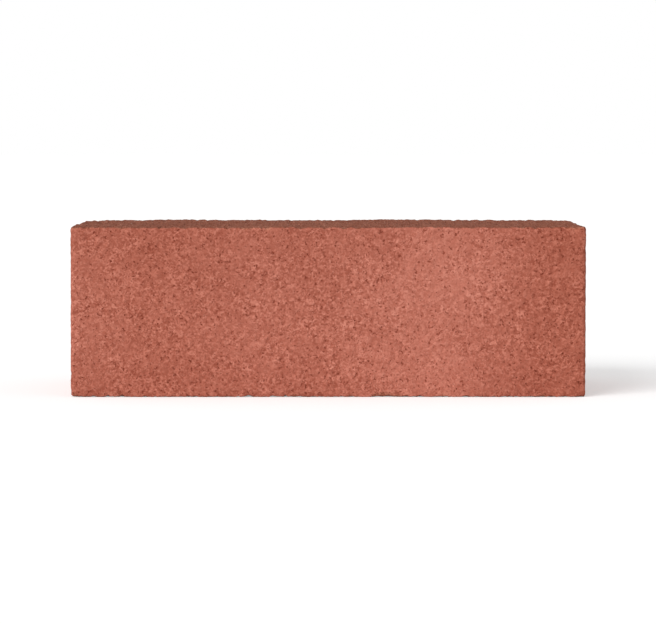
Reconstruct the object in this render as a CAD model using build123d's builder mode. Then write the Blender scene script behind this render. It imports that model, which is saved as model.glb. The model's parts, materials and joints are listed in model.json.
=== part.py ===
from build123d import *

import os

# Double bullnose brick in solid fired clay, lying on its bed.
# The clay is pushed through a die as a column whose section is the bed outline, and wires cut the column
# across into bricks. The die makes the long faces, the ends and the bullnoses, and the wires make the beds.
# Origin at the centre of the lower bed: +X along the length, +Y from the flat stretcher face
# to the bullnosed one, +Z up. Sizes are in millimetres.

# Driving dimensions
length = 230.0  # end to end, along X
width = 110.0  # flat stretcher face to bullnosed stretcher face, along Y
height = 76.0  # bed to bed, along Z
bullnose_radius = 25.0  # quarter round between the bullnosed face and each end
die_corner_radius = 2.0  # upright corners between the flat stretcher face and each end
bed_arris_radius = 0.8  # worn edge all round each wire-cut bed

# The brick: the die's outline, cut to height, with its bed arrises softened
with BuildPart() as brick:
    with BuildSketch(Plane.XY) as die_outline:
        Rectangle(length, width)
        flat_side, bullnose_side = die_outline.vertices().group_by(Axis.Y)
        fillet(bullnose_side, radius=bullnose_radius)
        fillet(flat_side, radius=die_corner_radius)
    extrude(amount=height)
    bed_edges = brick.faces().filter_by(Axis.Z).edges()
    fillet(bed_edges, radius=bed_arris_radius)

brick.part.label = "double_bullnose_brick"
os.makedirs("parts", exist_ok=True)
export_step(brick.part, "parts/double_bullnose_brick.step")
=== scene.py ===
import json
import math
from types import SimpleNamespace

import bpy
import numpy as np
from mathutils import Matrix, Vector, geometry, noise


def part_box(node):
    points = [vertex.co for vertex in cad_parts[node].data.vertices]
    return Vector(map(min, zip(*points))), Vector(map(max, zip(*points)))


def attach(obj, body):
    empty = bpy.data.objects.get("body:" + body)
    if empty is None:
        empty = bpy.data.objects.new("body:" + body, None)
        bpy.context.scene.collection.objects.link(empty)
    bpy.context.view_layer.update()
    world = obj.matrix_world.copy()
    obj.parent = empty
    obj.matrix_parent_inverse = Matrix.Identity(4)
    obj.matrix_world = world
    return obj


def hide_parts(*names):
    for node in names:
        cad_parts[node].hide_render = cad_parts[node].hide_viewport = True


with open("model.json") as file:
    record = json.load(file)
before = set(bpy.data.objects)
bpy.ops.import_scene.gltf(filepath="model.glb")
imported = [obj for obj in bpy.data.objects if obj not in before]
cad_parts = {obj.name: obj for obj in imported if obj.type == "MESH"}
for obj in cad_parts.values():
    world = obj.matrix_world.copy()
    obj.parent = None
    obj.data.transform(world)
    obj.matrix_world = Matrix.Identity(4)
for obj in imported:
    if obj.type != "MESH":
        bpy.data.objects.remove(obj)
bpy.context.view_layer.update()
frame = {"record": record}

# Names of the CAD node, the piece that replaces it and its material slot
NODE = "double_bullnose_brick"
PIECE = "fired_clay_brick"
SLOT = "fired_clay"

# Sizes of the brick, all in millimetres: the overall ones are read from the CAD solid
MM = 0.001
box_low, box_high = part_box(NODE)
LENGTH, WIDTH, HEIGHT = (box_high - box_low) / MM
BULLNOSE_RADIUS = 25.0
DIE_CORNER_RADIUS = 2.0

# Spacing of the mesh: closer on the front, at the edges, and across the furrows of the beds
FRONT_SPACING = 0.95
SIDE_SPACING = 1.25
ROW_SPACING = 1.0
UPPER_BED_SPACING = (0.66, 1.2)
LOWER_BED_SPACING = (1.2, 1.9)
BED_JITTER = 0.25  # share of the spacing by which a point strays
CORNER_STEPS = 6  # fewest steps round an upright corner
TIGHTEST_CORNER = 0.8  # smallest radius of a corner that is inset
EDGE_REACH = 4.2  # width of the band beside an edge that wear can take
EDGE_STEPS = 7
EDGE_CROWDING = 1.6  # how much closer together the loops lie towards the edge
FILL_INSIDE = 1  # the triangulation's mode that fills only the inside of a loop
MERGE_DISTANCE = 1e-7

# What is drawn at random: the seed, and how fast a noise's finer octaves fade and shrink
SEED = 7
OCTAVE_FADE = 1.0
OCTAVE_STEP = 2.0

# Wear along the edges
ARRIS_WEAR = 0.75
LEAST_WEAR = 0.35
WEAR_SWING = 0.6
WEAR_STRETCH = 14.0
NIBBLE_DEPTH = 1.5
NIBBLE_ONSET = 0.1
NIBBLE_STRETCH = 2.6
CORNER_WEAR = 1.1
CORNER_SPREAD = 3.2
CORNER_NICK_DEPTH = 0.7
CORNER_NICK_ONSET = 0.2
CORNER_NICK_STRETCH = 4.0
SMALL_CHIPS = 22
SMALL_CHIP_REACH = (0.9, 1.7)
SMALL_CHIP_WIDTH = (1.6, 4.0)
LARGE_CHIPS = 2
LARGE_CHIP_REACH = (2.0, 3.0)
LARGE_CHIP_WIDTH = (4.0, 8.0)
CHIP_RAGGEDNESS = 0.5
ROUND_CUT = 2.0  # power of the curve across a rounded edge
CHIP_CUT = 1.15  # power of the flatter curve across a chip
CHIP_CUT_REACH = (0.3, 1.2)  # reach of a chip over which its curve goes flat
CHIP_SHOWS_REACH = (0.5, 1.5)  # reach of a chip over which its colour comes up

# Relief of the die-made faces
BOW_DEPTH = 0.22
BOW_STRETCH = 110.0
DIE_LINE_DEPTH = 0.045
DIE_LINE_STRETCH = (4.0, 4.0, 90.0)
SKIN_DEPTH = 0.42
SKIN_STRETCH = 1.9

# Relief of the wire-cut beds
WAVE_DEPTH = 0.3
LOWER_BED_WAVE = 0.4  # share of the waves on the bed that the brick lies on
WAVE_STRETCH = 34.0
FURROW_DEPTH = 0.5
FURROW_STRETCH = (2.3, 60.0, 20.0)
FURROW_SWAY = 6.0
FURROW_SWAY_STRETCH = 70.0
CRUMB_DEPTH = 0.3
CRUMB_STRETCH = (2.4, 3.4, 3.4)
TEAR_DEPTH = 1.2
TEAR_STRETCH = (3.0, 6.0, 6.0)
TEAR_ONSET = 0.24
GRIT_TRACKS = 44
GRIT_TRACK_LENGTH = (12.0, 55.0)
GRIT_TRACK_WIDTH = (0.8, 1.4)
GRIT_TRACK_DEPTH = (0.3, 0.7)
GRIT_TRACK_SLANT = 0.08  # most that a track drifts sideways for each millimetre along
GRIT_TRACK_ENTRY = 0.03  # share of a track over which it sinks in at its start
PITS = 110
PIT_RADIUS = (0.9, 1.9)
PIT_DEPTH = (0.25, 0.6)
PIT_RAGGEDNESS = 0.8
SMEARED_PERCENT = 3.0  # percent of the points that the wire smeared flat
TORN_SHADE_DEPTH = (0.1, 0.7)  # depth over which torn clay is given painted shade
BED_SHOWS_SLOPE = (0.55, 0.95)  # upright share of the normal over which a wall turns to bed


def add_object(name, data):
    """A new object in the scene, made of a mesh, a lamp or a camera."""
    made = bpy.data.objects.new(name, data)
    bpy.context.scene.collection.objects.link(made)
    return made


def smoothstep(low, high, value):
    """value eased from 0 at low to 1 at high."""
    share = np.clip((value - low) / (high - low), 0.0, 1.0)
    return share * share * (3.0 - 2.0 * share)


def fractal(points, stretch, octaves=2):
    """Smooth noise, mostly from -0.6 to 0.6, whose lumps are about stretch millimetres across."""
    places = (np.asarray(points) / np.asarray(stretch)).tolist()
    return np.array([noise.fractal(place, OCTAVE_FADE, OCTAVE_STEP, octaves) for place in places])


def corner_arc(side_x, side_y, radius, start_angle, inset):
    """Points and outward directions round one upright corner, inset from the outline."""
    bend = max(radius - inset, TIGHTEST_CORNER)
    steps = max(CORNER_STEPS, round(radius * math.pi / 2 / SIDE_SPACING))
    angles = np.radians(start_angle + np.linspace(0.0, 90.0, steps + 1))
    outward = np.stack([np.cos(angles), np.sin(angles)], axis=1)
    centre = np.array([side_x * (LENGTH / 2 - inset - bend), side_y * (WIDTH / 2 - inset - bend)])
    return centre + bend * outward, outward


def outline(inset):
    """Points and outward directions round the brick at this inset, anticlockwise as seen from above."""
    corners = (
        (-1, -1, DIE_CORNER_RADIUS, 180.0),
        (1, -1, DIE_CORNER_RADIUS, 270.0),
        (1, 1, BULLNOSE_RADIUS, 0.0),
        (-1, 1, BULLNOSE_RADIUS, 90.0),
    )
    front_steps = round((LENGTH - 2 * DIE_CORNER_RADIUS) / FRONT_SPACING)
    end_steps = round((WIDTH - DIE_CORNER_RADIUS - BULLNOSE_RADIUS) / SIDE_SPACING)
    back_steps = round((LENGTH - 2 * BULLNOSE_RADIUS) / SIDE_SPACING)
    arcs = [corner_arc(*corner, inset) for corner in corners]
    points = []
    outwards = []
    for index, steps in enumerate((front_steps, end_steps, back_steps, end_steps)):
        arc, outward = arcs[index]
        next_arc, _ = arcs[(index + 1) % len(arcs)]
        shares = np.arange(1, steps)[:, None] / steps
        points += [arc, arc[-1] + shares * (next_arc[0] - arc[-1])]
        outwards += [outward, np.repeat(outward[-1:], steps - 1, axis=0)]
    return np.concatenate(points), np.concatenate(outwards)


def depth_inside(points):
    """How far points in a bed lie inside the brick's outline."""
    radius = np.where(points[:, 1] > 0, BULLNOSE_RADIUS, DIE_CORNER_RADIUS)
    from_corner = np.abs(points) - np.array([LENGTH, WIDTH]) / 2 + radius[:, None]
    beyond = np.linalg.norm(np.maximum(from_corner, 0.0), axis=1)
    return radius - beyond - np.minimum(from_corner.max(axis=1), 0.0)


def by_front_corner(points):
    """1 at the two upright corners of the flat face, falling to 0 a few millimetres away."""
    sideways = np.abs(points[:, 0]) - LENGTH / 2
    back = points[:, 1] + WIDTH / 2
    return np.exp(-(sideways**2 + back**2) / CORNER_SPREAD**2)


def worn_edge(edge, along, rng):
    """Along one bed edge: how far the wear reaches, the power of its curve, and the share of a chip."""
    reach = ARRIS_WEAR * (1.0 + WEAR_SWING * fractal(edge, WEAR_STRETCH, octaves=3))
    reach += NIBBLE_DEPTH * np.maximum(fractal(edge, NIBBLE_STRETCH) - NIBBLE_ONSET, 0.0)
    reach += CORNER_WEAR * by_front_corner(edge)
    total = along[-1]
    chip = np.zeros(len(along))
    kinds = (
        (SMALL_CHIPS, SMALL_CHIP_REACH, SMALL_CHIP_WIDTH),
        (LARGE_CHIPS, LARGE_CHIP_REACH, LARGE_CHIP_WIDTH),
    )
    for count, reaches, widths in kinds:
        for _ in range(count):
            away = np.abs(along - rng.uniform(0.0, total))
            away = np.minimum(away, total - away) / rng.uniform(*widths)
            chip = np.maximum(chip, rng.uniform(*reaches) * np.maximum(1.0 - away**2, 0.0))
    chip *= 1.0 + CHIP_RAGGEDNESS * fractal(edge, NIBBLE_STRETCH)
    cut = ROUND_CUT + (CHIP_CUT - ROUND_CUT) * smoothstep(*CHIP_CUT_REACH, chip)
    reach = np.clip(np.maximum(reach, chip), LEAST_WEAR, EDGE_REACH)
    return reach, cut, smoothstep(*CHIP_SHOWS_REACH, chip)


def loop_places():
    """How far in and how far up each loop of points lies, from the lower bed up to the upper bed."""
    steps = EDGE_REACH * np.linspace(0.0, 1.0, EDGE_STEPS) ** EDGE_CROWDING
    wall_count = round((HEIGHT - 2 * EDGE_REACH) / ROW_SPACING)
    middle = np.linspace(EDGE_REACH, HEIGHT - EDGE_REACH, wall_count + 1)[1:-1]
    heights = np.concatenate([steps, middle, HEIGHT - steps[::-1]])
    insets = np.concatenate([steps[:0:-1], np.zeros(len(heights)), steps[1:]])
    rises = np.concatenate([np.zeros(EDGE_STEPS - 1), heights, np.full(EDGE_STEPS - 1, HEIGHT)])
    return insets, rises


def ring_loops(rng):
    """The brick as loops of points stacked from the lower bed, up the walls and on to the upper bed.

    Returns the points, each point's share of a chip, the ways out of the walls round a loop, and the
    inset of the innermost loops.
    """
    rim, outward = outline(0.0)
    gaps = np.linalg.norm(np.roll(rim, -1, axis=0) - rim, axis=1)
    along = np.concatenate([[0.0], np.cumsum(gaps)[:-1]])
    worn = {}
    for level in (0.0, HEIGHT):
        edge = np.column_stack([rim, np.full(len(rim), level)])
        worn[level] = worn_edge(edge, along, rng)

    insets, rises = loop_places()
    loops = []
    chips = []
    for inset, rise in zip(insets, rises):
        flat, _ = outline(inset)
        upper = rise > HEIGHT / 2
        reach, cut, chip = worn[HEIGHT if upper else 0.0]
        from_bed = HEIGHT - rise if upper else rise
        wall_share = np.clip(1.0 - inset / reach, 0.0, 1.0)
        bed_share = np.clip(1.0 - from_bed / reach, 0.0, 1.0)
        spread = (wall_share**cut + bed_share**cut) ** (1.0 / cut)
        pull_in = reach * (wall_share - wall_share / spread)
        pull_up = reach * (bed_share - bed_share / spread)
        level = rise - pull_up if upper else rise + pull_up
        loops.append(np.column_stack([flat - outward * pull_in[:, None], level]))
        chips.append(chip * np.sqrt(np.minimum(wall_share, bed_share)))
    return np.array(loops), np.array(chips), outward, insets[0]


def bed_fill(rim, inset, spacing, rng):
    """Scattered points inside a bed's innermost loop, and the triangles that join them to it."""
    columns = np.arange(-LENGTH / 2, LENGTH / 2, spacing[0])
    rows = np.arange(-WIDTH / 2, WIDTH / 2, spacing[1])
    grid = np.stack(np.meshgrid(columns, rows), axis=-1).reshape(-1, 2)
    grid += BED_JITTER * np.array(spacing) * rng.uniform(-1.0, 1.0, grid.shape)
    inner = grid[depth_inside(grid) > inset + spacing[0]]
    places = [Vector(point) for point in np.concatenate([rim, inner])]
    rim_edges = [(index, (index + 1) % len(rim)) for index in range(len(rim))]
    made = geometry.delaunay_2d_cdt(places, rim_edges, [], FILL_INSIDE, MERGE_DISTANCE)
    _, _, triangles, origins, _, _ = made
    source = np.array([origin[0] for origin in origins])
    return inner, source[np.array(triangles)]


def brick_mesh(rng):
    """The brick with worn edges and no other relief.

    Returns its points, its faces, each point's share of a chip, and the way out of the wall beside it.
    """
    loops, chips, outward, inset = ring_loops(rng)
    rows, columns, _ = loops.shape
    index = np.arange(rows * columns).reshape(rows, columns)
    following = np.roll(index, -1, axis=1)
    quads = np.stack([index[:-1], following[:-1], following[1:], index[1:]], axis=-1).reshape(-1, 4)
    points = [loops.reshape(-1, 3)]
    faces = quads.tolist()
    start = rows * columns
    beds = ((0, 0.0, LOWER_BED_SPACING), (rows - 1, HEIGHT, UPPER_BED_SPACING))
    for rim_row, level, spacing in beds:
        rim = loops[rim_row, :, :2]
        inner, triangles = bed_fill(rim, inset, spacing, rng)
        place = np.concatenate([index[rim_row], start + np.arange(len(inner))])
        triangles = place[triangles]
        faces += (triangles if level else triangles[:, ::-1]).tolist()
        points.append(np.column_stack([inner, np.full(len(inner), level)]))
        start += len(inner)
    points = np.concatenate(points)
    chip = np.zeros(len(points))
    chip[: rows * columns] = chips.ravel()
    way_out = np.zeros((len(points), 2))
    way_out[: rows * columns] = np.tile(outward, (rows, 1))
    return points, faces, chip, way_out


def wall_relief(points):
    """Depth below the true surface on the faces that the die made."""
    bow = BOW_DEPTH * (1.0 + fractal(points, BOW_STRETCH))
    lines = DIE_LINE_DEPTH * fractal(points, DIE_LINE_STRETCH)
    corner = by_front_corner(points)
    skin = SKIN_DEPTH * fractal(points, SKIN_STRETCH) * (1.0 - corner)
    nick = np.maximum(fractal(points, CORNER_NICK_STRETCH) - CORNER_NICK_ONSET, 0.0)
    depth = bow + lines + skin + CORNER_NICK_DEPTH * nick * corner
    return depth - depth.min()


def track_relief(points, upper, rng):
    """Depth of the grooves that grains dragged by the wire cut into the beds, some in each."""
    depth = np.zeros(len(points))
    for track in range(GRIT_TRACKS):
        start_x = rng.uniform(-LENGTH / 2, LENGTH / 2)
        start_y = rng.uniform(-WIDTH / 2, WIDTH / 2)
        travelled = points[:, 1] - start_y
        share = travelled / rng.uniform(*GRIT_TRACK_LENGTH)
        beside = points[:, 0] - start_x - travelled * rng.uniform(-GRIT_TRACK_SLANT, GRIT_TRACK_SLANT)
        groove = np.exp(-((beside / rng.uniform(*GRIT_TRACK_WIDTH)) ** 2))
        entry = smoothstep(-GRIT_TRACK_ENTRY, 0.0, share)
        taper = np.where(share < 0.0, entry, np.maximum(1.0 - share, 0.0))
        depth += rng.uniform(*GRIT_TRACK_DEPTH) * groove * taper * (upper == bool(track % 2))
    return depth


def pit_relief(points, rng):
    """Depth of the ragged pits where the wire plucked grains out of the beds."""
    depth = np.zeros(len(points))
    ragged = 1.0 + PIT_RAGGEDNESS * fractal(points, max(PIT_RADIUS))
    for _ in range(PITS):
        centre = rng.uniform(-0.5, 0.5, 3) * np.array([LENGTH, WIDTH, 0.0])
        centre[2] = rng.choice([0.0, HEIGHT])
        away = ((points - centre) ** 2).sum(axis=1) / rng.uniform(*PIT_RADIUS) ** 2
        depth = np.maximum(depth, rng.uniform(*PIT_DEPTH) * np.maximum(1.0 - away * ragged, 0.0))
    return depth


def bed_relief(points, rng):
    """Depth below the true surface of the bed nearest each point, where the wire dragged along Y.

    Returns the whole depth, and the part of it that is torn out.
    """
    upper = points[:, 2] > HEIGHT / 2
    places = np.column_stack([points[:, :2], np.where(upper, HEIGHT, 0.0)])
    swayed = places.copy()
    swayed[:, 0] += FURROW_SWAY * fractal(places, FURROW_SWAY_STRETCH, octaves=1)
    wave = WAVE_DEPTH * np.where(upper, 1.0, LOWER_BED_WAVE) * (1.0 + fractal(places, WAVE_STRETCH))
    furrow = FURROW_DEPTH * np.abs(fractal(swayed, FURROW_STRETCH))
    crumb = CRUMB_DEPTH * fractal(places, CRUMB_STRETCH, octaves=3)
    torn = TEAR_DEPTH * np.maximum(fractal(swayed, TEAR_STRETCH, octaves=3) - TEAR_ONSET, 0.0)
    torn += track_relief(places, upper, rng) + pit_relief(places, rng)
    depth = wave + furrow + crumb + torn
    return np.maximum(depth - np.percentile(depth, SMEARED_PERCENT), 0.0), torn


def carved(points, way_out, rng):
    """The points moved inward by both reliefs, and how deep each of them is torn out.

    Near an edge both reliefs move the surface, each less and less on the other's side of the edge.
    """
    from_upper = HEIGHT - points[:, 2]
    from_bed = np.minimum(points[:, 2], from_upper)
    near_bed = np.clip(1.0 - from_bed / EDGE_REACH, 0.0, 1.0)
    near_wall = np.clip(1.0 - depth_inside(points[:, :2]) / EDGE_REACH, 0.0, 1.0)
    bed_depth, torn_depth = bed_relief(points, rng)
    moved = points.copy()
    moved[:, :2] -= way_out * (wall_relief(points) * near_wall)[:, None]
    moved[:, 2] += np.where(from_bed < from_upper, 1.0, -1.0) * bed_depth * near_bed
    return moved, torn_depth


def build_brick():
    """The brick's object, with the shares of bed, chip and torn clay (for painted shade) at each point
    for its material.
    """
    rng = np.random.default_rng(SEED)
    points, faces, chip, way_out = brick_mesh(rng)
    mesh = bpy.data.meshes.new(PIECE)
    mesh.from_pydata((points * MM).tolist(), [], faces)
    mesh.update()
    normals = np.zeros(len(points) * 3)
    mesh.vertex_normals.foreach_get("vector", normals)
    upright = np.abs(normals.reshape(-1, 3)[:, 2])

    moved, torn_depth = carved(points, way_out, rng)
    mesh.vertices.foreach_set("co", (moved * MM).ravel())
    mesh.polygons.foreach_set("use_smooth", np.ones(len(faces), dtype=bool))
    bed = smoothstep(*BED_SHOWS_SLOPE, upright)
    # Share of painted shade in the torn hollows of the beds, growing with their depth
    torn = smoothstep(*TORN_SHADE_DEPTH, torn_depth) * bed
    for name, values in (("bed", bed), ("chip", chip), ("torn", torn)):
        layer = mesh.attributes.new(name, "FLOAT", "POINT")
        layer.data.foreach_set("value", values.astype(np.float32))
    mesh.update()
    return add_object(PIECE, mesh)


# Spans of values: a number drawn for each cell, and a noise, which seldom leaves its middle
WHOLE_SPAN = (0.0, 1.0)
NOISE_SPAN = (0.3, 0.7)

# Share of a spot's radius that lies inside its soft rim
SPOT_CORE = 0.6

# Places of a mix node's two inputs and its output for each kind of value, which share their names
MIX_SOCKETS = {"FLOAT": (2, 3, 0), "VECTOR": (4, 5, 1), "RGBA": (6, 7, 2)}


class Graph:
    """Adds nodes to the emptied node tree of a material or a world.

    An input is given as a number, a tuple or another node's output.
    """

    def __init__(self, owner):
        owner.use_nodes = True
        self.tree = owner.node_tree
        self.tree.nodes.clear()

    def add(self, kind, inputs=(), **settings):
        node = self.tree.nodes.new("ShaderNode" + kind)
        for name, value in settings.items():
            setattr(node, name, value)
        for key, value in dict(inputs).items():
            if isinstance(value, bpy.types.NodeSocket):
                self.tree.links.new(value, node.inputs[key])
            else:
                node.inputs[key].default_value = value
        return node

    def math(self, operation, *values):
        return self.add("Math", dict(enumerate(values)), operation=operation).outputs[0]

    def vector(self, operation, *values):
        return self.add("VectorMath", dict(enumerate(values)), operation=operation).outputs[0]

    def scale(self, vector, factor):
        return self.add("VectorMath", {"Vector": vector, "Scale": factor}, operation="SCALE").outputs[0]

    def axes(self, vector):
        return self.add("SeparateXYZ", {"Vector": vector}).outputs

    def ramp(self, value, low, high, start, end):
        """value eased from start to end as it goes from low to high."""
        inputs = {"Value": value, "From Min": low, "From Max": high, "To Min": start, "To Max": end}
        return self.add("MapRange", inputs, interpolation_type="SMOOTHSTEP").outputs[0]

    def mix(self, kind, share, first, second):
        """first where share is 0 and second where it is 1, as numbers, vectors or colours."""
        first_input, second_input, output = MIX_SOCKETS[kind]
        inputs = {"Factor": share, first_input: first, second_input: second}
        return self.add("Mix", inputs, data_type=kind).outputs[output]

    def noise(self, place, size, detail=2.0):
        inputs = {"Vector": place, "Scale": 1.0 / size, "Detail": detail}
        return self.add("TexNoise", inputs).outputs["Fac"]

    def cells(self, place, size):
        """A number from 0 to 1 drawn for each cell of this size, and the distance from its middle."""
        cell = self.add("TexVoronoi", {"Vector": place, "Scale": 1.0 / size}).outputs
        drawn = self.add("SeparateColor", {"Color": cell["Color"]}).outputs["Red"]
        return drawn, cell["Distance"]

    def spots(self, place, spacing, share, radius):
        """1 in small spots that lie in a share of the cells of a pattern, and 0 around them."""
        drawn, distance = self.cells(place, spacing)
        reach = radius / spacing
        inside = self.ramp(distance, reach * SPOT_CORE, reach, 1.0, 0.0)
        return self.math("MULTIPLY", self.math("LESS_THAN", drawn, share), inside)

    def swing(self, value, span, change):
        """A brightness that goes from 1 - change to 1 + change as value goes over its span."""
        return self.ramp(value, *span, 1.0 - change, 1.0 + change)

    def shaded(self, tone, share, shade):
        """tone, multiplied by shade where share is 1."""
        return self.math("MULTIPLY", tone, self.ramp(share, *WHOLE_SPAN, 1.0, shade))

    def tinted(self, colour, tint, share):
        """colour, multiplied by tint where share is 1."""
        return self.mix("VECTOR", share, colour, self.vector("MULTIPLY", colour, tint))

    def attribute(self, name):
        return self.add("Attribute", attribute_name=name).outputs["Fac"]


# Colours, as linear values: the clay's own is in the record
RECORD_CLAY = next(row["base_color"] for row in frame["record"]["materials"] if row["slot"] == SLOT)
SKIN_TINT = (1.042, 1.075, 1.031)
PALE_TINT = (1.13, 1.2, 1.24)
DARK_TINT = (0.905, 0.845, 0.81)
BED_TINT = (0.74, 0.87, 0.78)
CHIP_TINT = (1.06, 1.16, 1.1)
LIME_COLOUR = (0.6, 0.47, 0.38, 1.0)
# Painted shade: how dark pinholes, pores and torn hollows are made, standing in for the shade inside
# them
PINHOLE_PAINTED_SHADE = 0.62
PORE_PAINTED_SHADE = 0.6
TORN_PAINTED_SHADE = 0.82
GREEN_POWER = 1.5
BLUE_POWER = 1.7
ROUGHNESS = (0.98, 0.88)
SHINE = 0.06

# Kiln marks on the walls: middle along X, half width and strength
DARK_MARKS = ((-77.0, 42.0, 0.45), (115.0, 45.0, 1.0))
PALE_MARKS = ((47.0, 46.0, 1.0), (-22.0, 38.0, 0.2), (-115.0, 16.0, 0.2))
MARK_WANDER = 5.0
MARK_WANDER_SIZE = 60.0
PALE_MARK_CALM = 0.7

# Brightness of the walls from just below their middle, where it is greatest, to the beds
WALL_MIDDLE = 0.45 * HEIGHT
WALL_FADE = (0.15 * HEIGHT, 0.5 * HEIGHT)
WALL_TONES = (1.025, 0.965)

# Grain of the clay: its sizes, and how much the brightness changes from grain to grain
SAND_SIZE = 0.7
SAND_SWING = 0.17
GRIT_SIZE = 1.3
GRIT_SWING = 0.11
MOTTLE_SIZE = 3.0
MOTTLE_SWING = 0.05
CLOUD_SIZE = 22.0
CLOUD_SWING = 0.046
PORE_SIZE = 1.2
PORE_SPAN = (0.28, 0.36)
FINE_SIZE = 0.9
SCRATCH_STRETCH = (0.8, 30.0, 30.0)
SCRATCH_SWING = 0.06

# Patches where the grain is weaker or stronger
PATCH_SIZE = 9.0
PATCH_CALM = 0.6
PATCH_ROUGH = 1.35

# Bump: its height, and the height of each pattern as a multiple of it
BUMP_HEIGHT = 0.16
SAND_BUMP = 0.35
GRIT_BUMP = 0.4
SCRATCH_BUMP = 0.7
PORE_BUMP = 0.8
PINHOLE_BUMP = 2.0

# Specks: distance between the cells they are drawn in, share of cells that have one, and radius
PINHOLES = (6.0, 0.12, 0.55)
LIME_SPECKS = (6.5, 0.02, 0.6)
SPECK_WOBBLE = 0.7


def clay_patterns(graph):
    """The patterns that the clay's colour, brightness and bump share, as outputs of nodes."""
    place = graph.scale(graph.add("TexCoord").outputs["Object"], 1.0 / MM)
    axes = graph.axes(place)
    bed = graph.attribute("bed")
    sand, _ = graph.cells(place, SAND_SIZE)
    grit, _ = graph.cells(place, GRIT_SIZE)
    streak = graph.noise(graph.vector("DIVIDE", place, SCRATCH_STRETCH), size=1.0, detail=3.0)
    wobble = graph.add("TexNoise", {"Vector": place, "Scale": 1.0 / SPECK_WOBBLE}).outputs["Color"]
    wobbly = graph.vector("MULTIPLY_ADD", wobble, (SPECK_WOBBLE,) * 3, place)
    return SimpleNamespace(
        place=place,
        x=axes["X"],
        z=axes["Z"],
        bed=bed,
        wall=graph.math("SUBTRACT", 1.0, bed),
        chip=graph.attribute("chip"),
        torn=graph.attribute("torn"),
        sand=sand,
        grit=grit,
        scratch=graph.math("MULTIPLY", bed, graph.ramp(streak, *NOISE_SPAN, -1.0, 1.0)),
        pore=graph.ramp(graph.noise(place, PORE_SIZE, detail=1.0), *PORE_SPAN, 1.0, 0.0),
        pinhole=graph.spots(wobbly, *PINHOLES),
        lime=graph.spots(wobbly, *LIME_SPECKS),
    )


def kiln_colour(graph, clay):
    """The clay's colour with the kiln marks of its walls, and the share of a pale mark."""
    wander = graph.noise(clay.place, MARK_WANDER_SIZE, detail=1.0)
    along = graph.math("ADD", clay.x, graph.ramp(wander, *NOISE_SPAN, -MARK_WANDER, MARK_WANDER))

    def kiln_mark(middle, half_width, strength):
        away = graph.math("ABSOLUTE", graph.math("SUBTRACT", along, middle))
        return graph.math("MULTIPLY", clay.wall, graph.ramp(away, 0.0, half_width, strength, 0.0))

    colour = graph.tinted(tuple(RECORD_CLAY), SKIN_TINT, clay.wall)
    for mark in DARK_MARKS:
        colour = graph.tinted(colour, DARK_TINT, kiln_mark(*mark))
    pale = 0.0
    for mark in PALE_MARKS:
        share = kiln_mark(*mark)
        colour = graph.tinted(colour, PALE_TINT, share)
        pale = graph.math("ADD", share, pale)
    colour = graph.tinted(colour, BED_TINT, clay.bed)
    return graph.tinted(colour, CHIP_TINT, clay.chip), pale


def grain_tone(graph, clay, pale):
    """Brightness of the clay, with a calmer grain in pale marks and painted shade in its pores,
    pinholes and tears.
    """
    mottle = graph.noise(clay.place, MOTTLE_SIZE)
    grain = graph.swing(clay.sand, WHOLE_SPAN, SAND_SWING)
    grain = graph.math("MULTIPLY", grain, graph.swing(clay.grit, WHOLE_SPAN, GRIT_SWING))
    grain = graph.math("MULTIPLY", grain, graph.swing(mottle, NOISE_SPAN, MOTTLE_SWING))
    patch = graph.ramp(graph.noise(clay.place, PATCH_SIZE), *NOISE_SPAN, PATCH_CALM, PATCH_ROUGH)
    strength = graph.shaded(patch, pale, PALE_MARK_CALM)
    tone = graph.math("MULTIPLY_ADD", graph.math("SUBTRACT", grain, 1.0), strength, 1.0)

    scratched = graph.math("MULTIPLY_ADD", clay.scratch, SCRATCH_SWING, 1.0)
    cloud = graph.noise(clay.place, CLOUD_SIZE, detail=3.0)
    off_middle = graph.math("ABSOLUTE", graph.math("SUBTRACT", clay.z, WALL_MIDDLE))
    faded = graph.ramp(off_middle, *WALL_FADE, *WALL_TONES)
    for factor in (scratched, graph.swing(cloud, NOISE_SPAN, CLOUD_SWING), faded):
        tone = graph.math("MULTIPLY", tone, factor)
    # Painted shade in the pores, pinholes and torn hollows
    painted_shades = ((clay.pore, PORE_PAINTED_SHADE), (clay.pinhole, PINHOLE_PAINTED_SHADE), (clay.torn, TORN_PAINTED_SHADE))
    for share, shade in painted_shades:
        tone = graph.shaded(tone, share, shade)
    return tone


def clay_bump(graph, clay):
    """Normal of the clay's fine bump, whose grains are twice as high on the beds."""
    fine = graph.noise(clay.place, FINE_SIZE, detail=1.0)
    height = graph.math("MULTIPLY_ADD", clay.sand, SAND_BUMP, fine)
    height = graph.math("MULTIPLY_ADD", clay.grit, GRIT_BUMP, height)
    height = graph.math("MULTIPLY", height, graph.math("ADD", clay.bed, 1.0))
    height = graph.math("MULTIPLY_ADD", clay.scratch, SCRATCH_BUMP, height)
    height = graph.math("MULTIPLY_ADD", clay.pore, -PORE_BUMP, height)
    height = graph.math("MULTIPLY_ADD", clay.pinhole, -PINHOLE_BUMP, height)
    return graph.add("Bump", {"Distance": BUMP_HEIGHT * MM, "Height": height}).outputs["Normal"]


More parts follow.
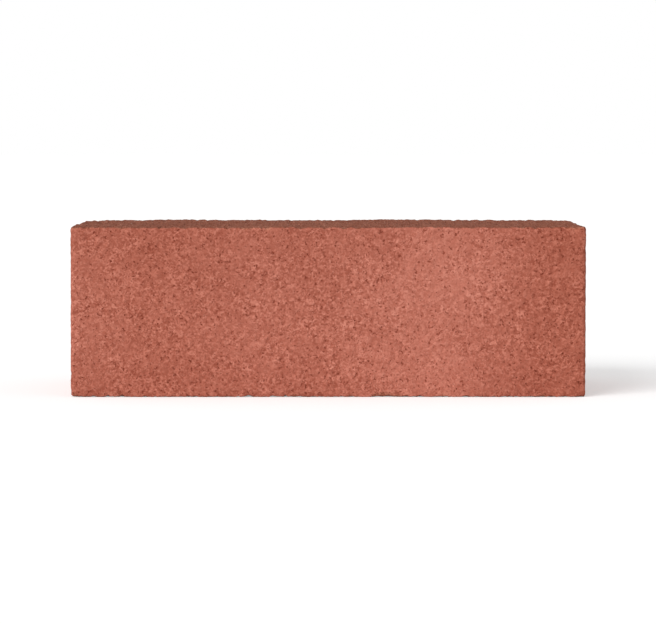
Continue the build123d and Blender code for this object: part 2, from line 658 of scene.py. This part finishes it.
def clay_material():
    material = bpy.data.materials.new(SLOT)
    graph = Graph(material)
    clay = clay_patterns(graph)
    colour, pale = kiln_colour(graph, clay)

    # What is paler is also less red
    tone = grain_tone(graph, clay, pale)
    green = graph.math("POWER", tone, GREEN_POWER)
    blue = graph.math("POWER", tone, BLUE_POWER)
    tones = graph.add("CombineXYZ", {"X": tone, "Y": green, "Z": blue}).outputs["Vector"]
    colour = graph.vector("MULTIPLY", colour, tones)
    inputs = {
        "Base Color": graph.mix("RGBA", clay.lime, colour, LIME_COLOUR),
        "Roughness": graph.ramp(clay.sand, *WHOLE_SPAN, *ROUGHNESS),
        "Specular IOR Level": SHINE,
        "Normal": clay_bump(graph, clay),
    }
    shader = graph.add("BsdfPrincipled", inputs)
    graph.add("OutputMaterial", {"Surface": shader.outputs["BSDF"]})
    return material


# Stage, with sizes in metres and angles in degrees: a white floor and background, a soft sun from the
# front left, and light from all round that is stronger near the horizon than overhead
FLOOR_SIZE = 24.0
FLOOR_WHITE = (0.86, 0.86, 0.86, 1.0)
FLOOR_LIFT = 0.36
BACKGROUND_WHITE = (1.0, 1.0, 1.0, 1.0)
BACKGROUND_STRENGTH = 1.0
SIDE_LIGHT = 0.53
OVERHEAD_LIGHT = 0.45
KEY_STRENGTH = 2.05
KEY_ANGLE = 40.0
KEY_AZIMUTH = -38.0
KEY_ELEVATION = 30.0


def way_to(azimuth, elevation):
    """The way from the brick to a lamp or camera, by its angles round from the front and up."""
    azimuth = math.radians(azimuth)
    elevation = math.radians(elevation)
    level = math.cos(elevation)
    return Vector((math.sin(azimuth) * level, -math.cos(azimuth) * level, math.sin(elevation)))


def look_back(thing, way):
    """Turns a lamp or camera that lies this way from the brick to look back along it."""
    thing.rotation_mode = "QUATERNION"
    thing.rotation_quaternion = way.to_track_quat("Z", "Y")


def seen_directly(graph):
    """1 for rays that show the background, straight or reflected, and 0 for rays that carry light."""
    path = graph.add("LightPath").outputs
    seen = graph.math("MAXIMUM", path["Is Camera Ray"], path["Is Glossy Ray"])
    return graph.math("MAXIMUM", seen, path["Is Transmission Ray"])


def build_floor():
    half = FLOOR_SIZE / 2
    mesh = bpy.data.meshes.new("floor")
    corners = [(-half, -half, 0.0), (half, -half, 0.0), (half, half, 0.0), (-half, half, 0.0)]
    mesh.from_pydata(corners, [], [(0, 1, 2, 3)])
    floor = add_object("floor", mesh)
    material = bpy.data.materials.new("white_floor")
    graph = Graph(material)
    matt = graph.add("BsdfDiffuse", {"Color": FLOOR_WHITE}).outputs["BSDF"]
    strength = graph.math("MULTIPLY", seen_directly(graph), FLOOR_LIFT)
    lift = graph.add("Emission", {"Strength": strength}).outputs["Emission"]
    both = graph.add("AddShader", {0: matt, 1: lift}).outputs["Shader"]
    graph.add("OutputMaterial", {"Surface": both})
    mesh.materials.append(material)


def build_light():
    world = bpy.data.worlds.new("studio")
    bpy.context.scene.world = world
    graph = Graph(world)
    upward = graph.axes(graph.add("TexCoord").outputs["Generated"])["Z"]
    light = graph.ramp(upward, *WHOLE_SPAN, SIDE_LIGHT, OVERHEAD_LIGHT)
    strength = graph.mix("FLOAT", seen_directly(graph), light, BACKGROUND_STRENGTH)
    background = graph.add("Background", {"Color": BACKGROUND_WHITE, "Strength": strength})
    graph.add("OutputWorld", {"Surface": background.outputs["Background"]})

    lamp = bpy.data.lights.new("key", "SUN")
    lamp.energy = KEY_STRENGTH
    lamp.angle = math.radians(KEY_ANGLE)
    look_back(add_object("key", lamp), way_to(KEY_AZIMUTH, KEY_ELEVATION))


# Camera: square on to the flat face and just above it, with its distance in metres
LENS = 170.0
CAMERA_DISTANCE = 1.375
CAMERA_AZIMUTH = 0.0
CAMERA_ELEVATION = 3.4


def build_camera():
    data = bpy.data.cameras.new("camera")
    data.lens = LENS
    camera = add_object("camera", data)
    way = way_to(CAMERA_AZIMUTH, CAMERA_ELEVATION)
    front_middle = Vector((0.0, box_low.y, (box_low.z + box_high.z) / 2))
    camera.location = front_middle + way * CAMERA_DISTANCE
    look_back(camera, way)
    bpy.context.scene.camera = camera


brick = build_brick()
brick.data.materials.append(clay_material())
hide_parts(NODE)
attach(brick, "root")
build_floor()
build_light()
build_camera()
bpy.context.scene.view_settings.view_transform = "Standard"
